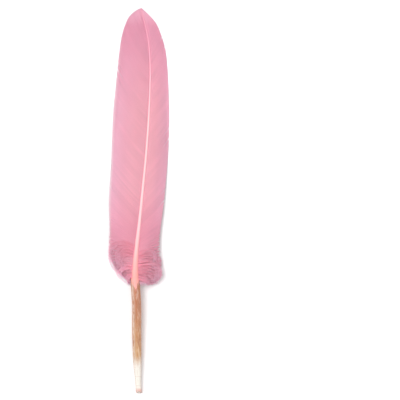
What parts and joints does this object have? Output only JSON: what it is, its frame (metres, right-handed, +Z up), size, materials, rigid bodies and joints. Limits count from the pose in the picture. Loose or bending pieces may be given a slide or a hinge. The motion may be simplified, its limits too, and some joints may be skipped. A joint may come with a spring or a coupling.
{
  "type": "goose quill feather",
  "caption": "Single goose quill feather, dyed pink, with a hollow cut quill, a broad and a narrow vane and soft down at the foot, lying flat.",
  "frame": {"origin": "under the middle of the feather's bounding box, on the surface it rests on", "axes": "+Y from the cut end of the quill to the tip, +X towards the narrow vane, +Z up out of the smooth upper side"},
  "size_m": [0.0236, 0.15, 0.0058],
  "materials": {
    "vane": "soft satin, dyed pink barbs",
    "quill": "pale translucent horn, blushed pink by the dye"
  },
  "bodies": {
    "root": {"feather": "vane"}
  },
  "joints": []
}
